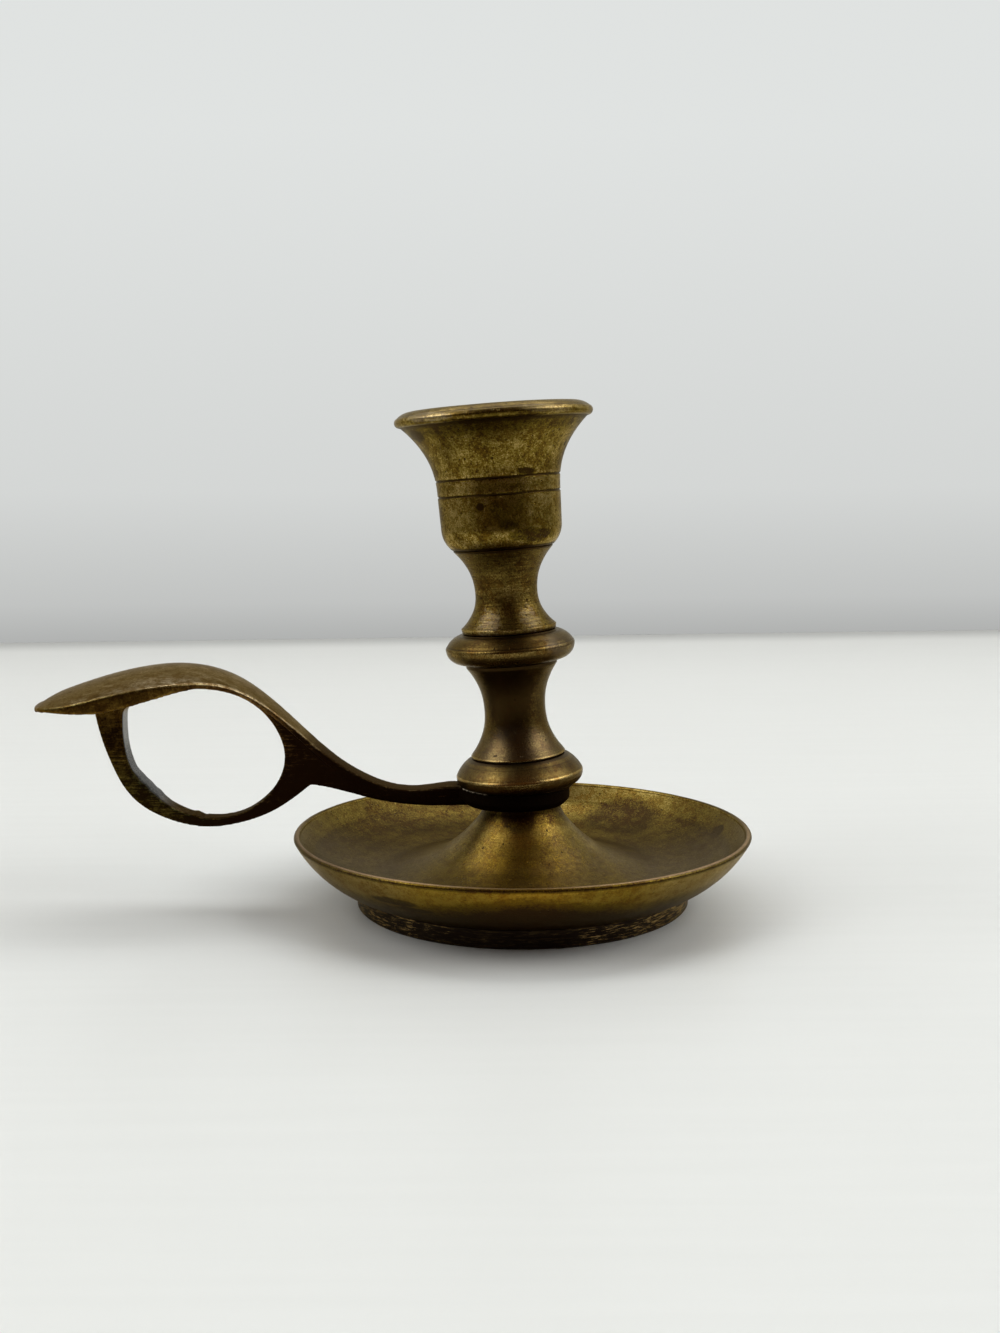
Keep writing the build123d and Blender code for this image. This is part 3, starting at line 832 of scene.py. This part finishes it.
handle_finish, tree, metal, place, shader = brass_finish(
    "handle_brass_old",
    bright=leaf_worn,
    olive=leaf_grey,
    dark=leg_red,
    Tarnish=0.62,
    Blotch=0.50,
    Speckle=0.50,
    Veins=0.10,
    Lines=0.0,
    Wear=0.38,
    Gloss=0.22,
)
x, y, z = coordinates(tree, place)
sideways = attribute(tree, "sideways")
flank = sideways.fade(0.5, 0.85)
near_stem = x.fade(-16, -11)
filing = clouds(tree, stretched(tree, place, (0.22, 1.0, 3.2)), 1.0, 4.0, 0.75)
along_strap = stretched(tree, place, (0.26, 1.3, 0.8), (0, 0.1, 0.05))
scratched = clouds(tree, along_strap, 1.0, 5.0, 0.8)
# The flanks, the foot of the loop, the eye and two corners are dark, the leaf is not. At the eye
# the dark is in part painted shade under the collar
dark = flank.max(z.fade(32, 37, 0.9, 0)) * z.fade(36.5, leaf_underside, 1, 0)
dark = dark.max(near_stem * 1.6).max(spots(tree, place, dark_corners))
# The flanks get darker from the loop to the stem, but not just under the strap's top edge
depth = z.fade(25, 31, 0, -0.06) * (x < -76) + x.fade(-74, -63, 0.34, 0.72)
depth += (x * 0.55 + z).fade(-2.5, 4.5, 0, -0.42) * x.fade(-53, -44, 1, 0)
coarse = x.fade(-74, -66, 1.9, 2.8)
beneath = attribute(tree, "upward").fade(0.25, 0.05, 0, 0.8)
edge = attribute(tree, "edge") * (1 - beneath)
on_strap = x.fade(-76, -62, 0, 0.34) * x.fade(-45, -20, 1, 0.1)
plug(tree, metal, {
    "Darken": dark * (filing * coarse + depth) + scratched * 0.85,
    "Edge": edge,
    "Lighten": edge * on_strap,
})
# Faces turned down are tinted darker and warmer: painted shade
skin = mix(tree, beneath, metal.outputs["Color"], underside_shade_tint, "MULTIPLY")
skin = mix(tree, edge, skin, edge_tint, "MULTIPLY")
on_loop, up_leg = x.fade(-60, -72) * flank, z.fade(26, 34)
for part, tint in ((up_leg, leg_tint), (1 - up_leg, foot_of_loop_tint)):
    skin = mix(tree, on_loop * part, skin, tint, "MULTIPLY")
# The loop's inner wall is coloured grey to black with a white sheen: a painted reflection of the
# white table at a flat angle
in_loop = (z.min(26) * 0.9 + x > -60.7) * (sideways < 0.6)
in_loop *= x.fade(-73, -77, 0, 0.9) * z.fade(42, leaf_underside)
painted_table_reflection = ramp(tree, filing * 2.0 + 0.5, [(0.3, loop_grey), (0.7, loop_black)])
skin = mix(tree, in_loop, skin, painted_table_reflection)
# The eye beside the stem is darkened further: painted shade under the collar
skin = mix(tree, near_stem * 0.9, skin, eye_shade_tint, "MULTIPLY")
rough = dark * 0.22 + metal.outputs["Roughness"]
# The burr gets its painted highlight in the base colour
plug(tree, shader, {
    "Base Color": mix(tree, spots(tree, place, burr_glint), skin, burr_glint_colour),
    "Roughness": (in_loop * -0.35 + rough).clamped(),
    "Specular Tint": mix(tree, in_loop, handle_sheen, white),
})
handle = reworked(
    "handle",
    cad_copy("handle"),
    handle_finish,
    ("REMESH", {"mode": "VOXEL", "voxel_size": 0.00032}),
    ("SMOOTH", {"factor": 0.5, "iterations": 3}),
)
pushed(handle, loop_lumps)
finished(handle, "handle")


# The collar: a turned bead that the rod clamps on the handle's eye, cut level beneath and
# square to the leaning stem above. Brown satin brass, bright where it is widest.
socket = next(m for m in frame["record"]["mounts"] if m["name"] == "candle_socket")
stem_axis = Vector(socket["axis"]).normalized()
stem_turn = stem_axis.to_track_quat("Z", "Y").to_matrix().to_4x4()
eye_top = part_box("base_collar")[0][2] / mm
stem_foot = Vector(socket["pos_m"]) / mm
stem_foot -= stem_axis * (stem_foot.z - eye_top) / stem_axis.z
stem_brown = (0.134, 0.086, 0.020)


def up_the_stem(height):
    """The place of a turned piece whose base is this many millimetres up the leaning stem."""
    return Matrix.Translation((stem_foot + stem_axis * height) * mm) @ stem_turn


def rings(tree, place, marks):
    """Rings round the stem, as (height up it, half width, strength) in millimetres."""
    feeds = {0: place, 1: stem_axis}
    along = put(tree, "ShaderNodeVectorMath", feeds, "Value", operation="DOT_PRODUCT")
    along -= stem_foot.dot(stem_axis)
    torn = clouds(tree, place, 1.1, 4.0, 0.7)
    total = 0.0
    for height, width, strength in marks:
        off = torn * (width * 0.9) + abs(along - height)
        total = off.fade(width * 0.3, width, strength, 0).max(total)
    return total


def stem_finish(name, dark_rings, shade_and_stain_spots=(), rubbed=(), lighter_spots=(), **values):
    """The brass of a turned piece of the stem, as (material, tree, place), dark in its joints
    and lines and in places of painted shade, rubbed in other rings, and lighter in spots that are
    bared and in places painted light."""
    material, tree, metal, place, _ = brass_finish(name, **values)
    plug(tree, metal, {
        "Darken": rings(tree, place, dark_rings) + spots(tree, place, shade_and_stain_spots),
        "Lighten": rings(tree, place, rubbed) + spots(tree, place, lighter_spots),
    })
    return material, tree, place


collar_section = [(2.5, -1.0), (11.0, -1.0)]
collar_section += bow((11.0, 0.0), (12.82, 0.85), (13.38, 2.3), 10)
collar_section += bow((13.38, 2.3), (13.38, 2.75), (13.2, 3.15), 6)
collar_section += bow((13.2, 3.15), (12.0, 4.85), (10.0, 6.35), 14)
collar_section += [(10.0, 6.35), (2.5, 6.35), (2.5, -1.0)]
collar_finish, tree, place = stem_finish(
    "collar_brass_old",
    [(6.35, 0.5, 0.6), (0.2, 1.3, 0.7), (5.3, 0.16, 0.25), (4.8, 1.2, 0.10)],
    rubbed=[(2.95, 0.42, 0.36)],
    # Painted light lightens the middle of the collar's front
    lighter_spots=[((-1.5, -13, 28.5), (7, 5, 3.2), 0.22)],
    olive=stem_brown,
    film=0.13,
    Tarnish=0.67,
    Blotch=0.25,
    Speckle=0.45,
    Lines=0.35,
    Wear=0.15,
    Gloss=0.25,
)
collar = turned("base_collar", collar_section, up_the_stem(0), collar_finish)
for vertex in collar.vertices:
    vertex.co.z = max(vertex.co.z, eye_top * mm)
finished(collar, "base_collar")


# The lower stem: a waist and the big knop, turned in one. The rod below screws into it, and
# the next piece's spigot sits in its top. Gold at the sides, red-brown down the middle. Painted
# shade darkens the waist under the knop, the knop's underside and the waist's front.
flare_shares = [(0.0, 0.0), (0.30, 0.07), (0.55, 0.265), (0.80, 0.61), (1.0, 1.0)]
grey_film_and_dulling = (0.092, 0.072, 0.050)


def waist(low, narrow, high):
    """The hollow of a stem between a low and a high end, by way of its narrowest ring."""
    radius, z = narrow
    down, up = (
        [(radius + (r - radius) * flare, z + (end - z) * share) for share, flare in flare_shares]
        for r, end in (low, high)
    )
    return flowing(down[::-1] + up[1:])


def overlaid(tree, mask, colour):
    """Lay a colour over a material's own, where the mask is 1."""
    shader = tree.nodes["Principled BSDF"]
    own = shader.inputs["Base Color"].links[0].from_socket
    plug(tree, shader, {"Base Color": mix(tree, mask, own, colour)})


lower_section = [(0, 11.0), (2.45, 11.0), (2.45, 0), (9.7, 0)]
lower_section += waist((9.95, 0.5), (6.44, 9.9), (9.55, 19.3)) + [(9.55, 19.3), (9.55, 19.95)]
lower_section += bow((10.3, 20.3), (12.9, 21.55), (13.5, 23.1), 12)
lower_section += bow((13.5, 23.1), (13.5, 23.6), (13.25, 24.0), 6)
lower_section += bow((13.25, 24.0), (12.15, 25.3), (10.6, 26.15), 12)
lower_section += [(10.6, 26.15), (10.05, 26.15), (9.8, 26.4), (3.25, 26.4), (3.25, 18.1), (0, 18.1)]
lower_finish, tree, place = stem_finish(
    "lower_stem_brass_old",
    [
        (6.35, 0.45, 0.6),
        # Painted shade under the knop: on the neck below it and down the waist
        (26.2, 1.0, 0.6),
        (20.0, 7.0, 0.28),
        (25.2, 0.2, 0.3),
        (31.6, 1.8, 0.18),
        # Painted shade on the knop's underside
        (28.4, 1.2, 0.20),
        (32.75, 0.7, 0.6),
    ],
    # The second spot is painted shade: the dim room's reflection down the front of the waist
    [((12, -4, 54), (2.5, 4.0, 1.6), 0.15), ((-3, -8, 45), (5.5, 5, 10), 0.42)],
    rubbed=[(29.2, 0.40, 0.14), (6.95, 0.28, 0.28)],
    lighter_spots=[((8.4, -8.7, 55.8), (1.6, 1.6, 0.8), 0.35), ((9.9, -6.3, 54.5), (1.4, 1.6, 0.8), 0.25)],
    olive=stem_brown,
    film=0.04,
    Tarnish=0.61,
    Blotch=0.24,
    Speckle=0.70,
    Lines=0.50,
    Wear=0.12,
    Gloss=0.28,
)
greyed = [((9, -9, 56), (5, 5, 3), 0.50), ((12.5, -3, 54.6), (4.5, 6, 3), 0.65)]
# The stem's foot in front is greyed to dull its highlight: painted shade
greyed += [((0, -9, 33.5), (13, 8, 5), 0.35, 0.4)]
overlaid(tree, spots(tree, place, greyed), grey_film_and_dulling)
lower = turned("lower_stem", lower_section, up_the_stem(6.35), lower_finish)
finished(lower, "lower_stem")


# The upper stem: the slim waist under the cup, with its own spigot down into the knop.
# Finely tooled brass, with a few pinholes and a ragged burr left round its foot.
burr, burr_height, burr_reach = 0.22, 33.85, 0.45
pale_highlight_colour = (0.62, 0.50, 0.33)
upper_olive = (0.142, 0.095, 0.018)


def painted_pale_streaks(tree, place, marks):
    """Streaks round the stem laid on in a pale colour, in these spots: painted highlights."""
    level = stretched(tree, place, (0.3, 0.3, 4.0))
    streak = clouds(tree, level, 1.0, 4.0, 0.7) * 3.5 + 0.6
    overlaid(tree, (spots(tree, place, marks) * streak).clamped(), pale_highlight_colour)


spigot = [(0, -7.5), (2.7, -7.5), (3.2, -7.0), (3.2, 0)]
upper_section = spigot + [(9.55, 0), (9.8, 0.25)]
upper_section += waist((9.8, 1.15), (6.49, 8.1), (10.4, 17.35))
upper_section += [(10.4, 17.35), (10.15, 17.6), (3.25, 17.6), (3.25, 9.3), (0, 9.3)]
upper_finish, tree, place = stem_finish(
    "upper_stem_brass_old",
    [(32.9, 0.7, 0.7), (50.1, 0.45, 1.0), (47, 5.0, 0.14), (34.5, 4.0, 0.16), (38.6, 0.15, 0.2)],
    [((-6.0, -7.2, 61.7), (0.28, 0.4, 0.28), 0.9), ((1.1, -5.9, 64.4), (0.28, 0.4, 0.28), 0.9)],
    rubbed=[(33.75, 0.32, 0.26)],
    olive=upper_olive,
    Tarnish=0.53,
    Blotch=0.32,
    Speckle=1.20,
    Lines=1.20,
    Wear=0.12,
    Gloss=0.23,
)
# Painted highlights on the lower flare, to the left and the right
highlight_spots = [((-6.9, -8.3, 60.0), (2.8, 3.0, 3.0), 0.15, 1.9)]
highlight_spots += [((1.9, -7.8, 60.8), (2.4, 3.0, 3.2), 0.13, 1.9)]
painted_pale_streaks(tree, place, highlight_spots)
upper = turned("upper_stem", upper_section, up_the_stem(32.75), upper_finish)
for vertex in upper.vertices:
    off = vertex.co / mm - stem_foot
    height = off.dot(stem_axis)
    near_edge = max(0, 1 - abs(height - burr_height) / burr_reach)
    torn = max(0, noise.noise(vertex.co * 1300) + 0.15)
    vertex.co += (off - stem_axis * height).normalized() * near_edge * torn * burr * mm
finished(upper, "upper_stem")


# The candle cup: a barrel on a round shoulder, opening like a bell to a thick bevelled rim,
# with two lines cut round it. Turned from brass with a spigot beneath, bored for a 22 mm
# candle, and mottled olive and gold.
belt_radius, belt_height = 12.7, 10.7
bell_spread, bell_height, bell_curve = 7.7, 15.9, 2.45
line_half_width, line_depth = 0.25, 0.28
bevel_ring = (78.35, 1.3, 0.62)
dull_bevel = (0.105, 0.078, 0.045)
cup_olive = (0.150, 0.102, 0.011)


def bell(height):
    """Outside radius of the cup above its belt."""
    return belt_radius + bell_spread * max((height - belt_height) / bell_height, 0) ** bell_curve


def cut_line(height):
    """A fine V cut round the bell."""
    low, high = height - line_half_width, height + line_half_width
    return [(bell(low), low), (bell(height) - line_depth, height), (bell(high), high)]


cup_section = spigot + bow((10.55, 0), (11.92, 1.79), (12.5, 3.9), 10)
cup_section += [(12.5, 3.9), (belt_radius, belt_height), *cut_line(11.0)]
cup_section += [(bell(z), z) for z in (12.0, 13.0)] + cut_line(14.3)
cup_section += [(bell(z), z) for z in (15.2, 16.4, 17.6, 18.8, 20.0, 21.2, 22.3, 23.3, 24.2, 24.9)]
cup_section += bow((bell(25.6), 25.6), (20.4, 26.75), (19.75, 27.62), 9)
cup_section += bow((19.75, 27.62), (18.60, 28.38), (17.23, 28.7), 10)
cup_section += flowing([(16.8, 28.7), (14.25, 25.87), (12.16, 22.34), (11.0, 18.1)])
cup_section += [(11.0, 18.1), (11.0, 3.6), (0, 3.6)]
cup_rings = [(50.4, 0.55, 1.0), (61.35, 0.42, 0.8), (64.65, 0.42, 0.8)]
cup_rings += [(75.2, 2.4, 0.28), (56.5, 4.5, 0.10)]
cup_finish, tree, place = stem_finish(
    "cup_brass_old",
    cup_rings,
    [
        ((1.1, -12.9, 90.5), (2.3, 2.5, 0.7), 0.65, 0.7),
        ((-1.5, -13.2, 82.4), (3.0, 3.2, 3.2), 0.10),
        ((-5.3, -13.4, 83.4), (1.3, 2.5, 1.4), 0.26, 1.6),
        ((-4.2, -13.4, 81.6), (1.6, 2.5, 1.3), 0.30, 1.6),
        ((-2.6, -13.3, 79.9), (1.8, 2.5, 1.2), 0.42, 1.6),
        ((2.8, -11.3, 77.9), (6.0, 5.0, 1.4), 0.55, 1.5),
        ((-8.2, -13.1, 83.4), (0.8, 0.8, 0.8), 0.90),
        ((9.0, -6.2, 96.1), (0.6, 0.6, 0.6), 0.80),
        ((-20.6, -9.0, 97.6), (2.0, 3.0, 1.3), 0.60),
        # The last spot is painted shade in the middle of the rim's front
        ((-2.0, -20.0, 102.0), (9.0, 5.0, 1.8), 0.20),
    ],
    olive=cup_olive,
    Tarnish=0.41,
    Blotch=0.60,
    Speckle=1.20,
    Veins=0.40,
    Lines=0.12,
    Wear=0.12,
    Gloss=0.23,
)
overlaid(tree, rings(tree, place, [bevel_ring]), dull_bevel)
# On the rim, a worn bevel with painted highlights on it, to the left and the right
highlight_spots = [((-19.0, -17.0, 100.9), (7, 6, 1.0), 0.30)]
highlight_spots += [((6.5, -19.5, 102.3), (7.5, 5, 0.9), 0.14)]
painted_pale_streaks(tree, place, highlight_spots)
cup = turned("candle_cup", cup_section, up_the_stem(50.35), cup_finish, 224)
finished(cup, "candle_cup")


# The rod, washer and nut beneath: plain steel, dull and a little rusty. The rod is threaded and
# bent where the stem begins to lean, and the nut draws the whole candlestick together.
def steel_finish(name, metal_colour, rust_colour):
    """Dull steel with brown rust in patches."""
    material, tree, shader = new_material(name)
    cloud = clouds(tree, in_millimetres(tree), 0.5, 5.0, 0.65)
    rust = cloud.fade(-0.03, 0.18)
    bumps = {"Height": cloud, "Strength": 0.4, "Distance": 0.0001}
    plug(tree, shader, {
        "Base Color": ramp(tree, rust, [(0, metal_colour), (1, rust_colour)]),
        "Roughness": rust * 0.35 + 0.38,
        "Metallic": rust * -0.6 + 1.0,
        "Normal": put(tree, "ShaderNodeBump", bumps),
    })
    return material


# Geometry nodes that run a screw thread along a path. Each ring knows how far it is along the
# path and each side its turn, and both together say how deep the thread is cut there.
thread, given, made = node_tree(
    "cut_thread",
    "GeometryNodeTree",
    {
        "Path": "Geometry",
        "Radius": "Float",
        "Pitch": "Float",
        "Depth": "Float",
        "Chamfer": "Float",
        "Rings": "Int",
        "Sides": "Int",
        "Finish": "Material",
    },
    {"Piece": "Geometry"},
)
line = put(thread, "GeometryNodeMeshToCurve", {"Mesh": given["Path"]})
evenly = put(thread, "GeometryNodeResampleCurve", {"Curve": line, "Count": given["Rings"]})
spline = add(thread, "GeometryNodeSplineParameter").outputs
share, travel = Wire(thread, spline["Factor"]), Wire(thread, spline["Length"])
to_end = share.min(1 - share) * (travel / share.max(1e-4))
guide = stored(thread, stored(thread, evenly, "along", travel), "from_end", to_end)
circle = {"Resolution": given["Sides"], "Radius": given["Radius"]}
circle = put(thread, "GeometryNodeCurvePrimitiveCircle", circle)
turn = put(thread, "GeometryNodeSplineParameter", out="Factor")
profile = stored(thread, circle, "turn", turn)
bar = {"Curve": guide, "Profile Curve": profile, "Fill Caps": True}
bar = put(thread, "GeometryNodeCurveToMesh", bar)
phase = stored_value(thread, "along") / given["Pitch"] - stored_value(thread, "turn")
valley = (phase * math.tau).calc("COSINE") * -0.5 + 0.5
bevel = (given["Chamfer"] - stored_value(thread, "from_end")).max(0)
threaded = moved_out(thread, bar, (valley * given["Depth"] + bevel) * -1)
end_with(thread, threaded, given["Finish"], made)

rod_bottom, rod_bend, rod_top, bend_reach = 10.2, 20.3, 16.35, 0.7
rod_finish = steel_finish("rod_steel_dull", (0.30, 0.29, 0.28), (0.10, 0.055, 0.032))
bend, above = Vector((0, 0, rod_bend)), stem_foot + stem_axis * rod_top
leave = bend + (above - bend).normalized() * bend_reach
bent = interpolate_bezier(bend - Vector((0, 0, bend_reach)), bend, bend, leave, 9)
path = [Vector((0, 0, rod_bottom)), *bent, above]
blank = drawing("tie_rod", [point * mm for point in path])
thread_sizes = {"Radius": 0.0024, "Pitch": 0.001, "Depth": 0.00028, "Chamfer": 0.0004}
rod = plain_mesh(blank, thread, {**thread_sizes, "Rings": 300, "Sides": 28, "Finish": rod_finish})
finished(rod, "tie_rod")
edges_off = ("BEVEL", {"width": 0.00012, "segments": 2, "limit_method": "ANGLE"})
washer_finish = steel_finish("washer_steel_dull", (0.36, 0.35, 0.34), (0.12, 0.07, 0.042))
finished(reworked("washer", cad_copy("washer"), washer_finish, edges_off), "washer")
nut_finish = steel_finish("nut_steel_dull", (0.33, 0.32, 0.31), (0.11, 0.06, 0.035))
finished(reworked("nut", cad_copy("nut"), nut_finish, edges_off), "nut")
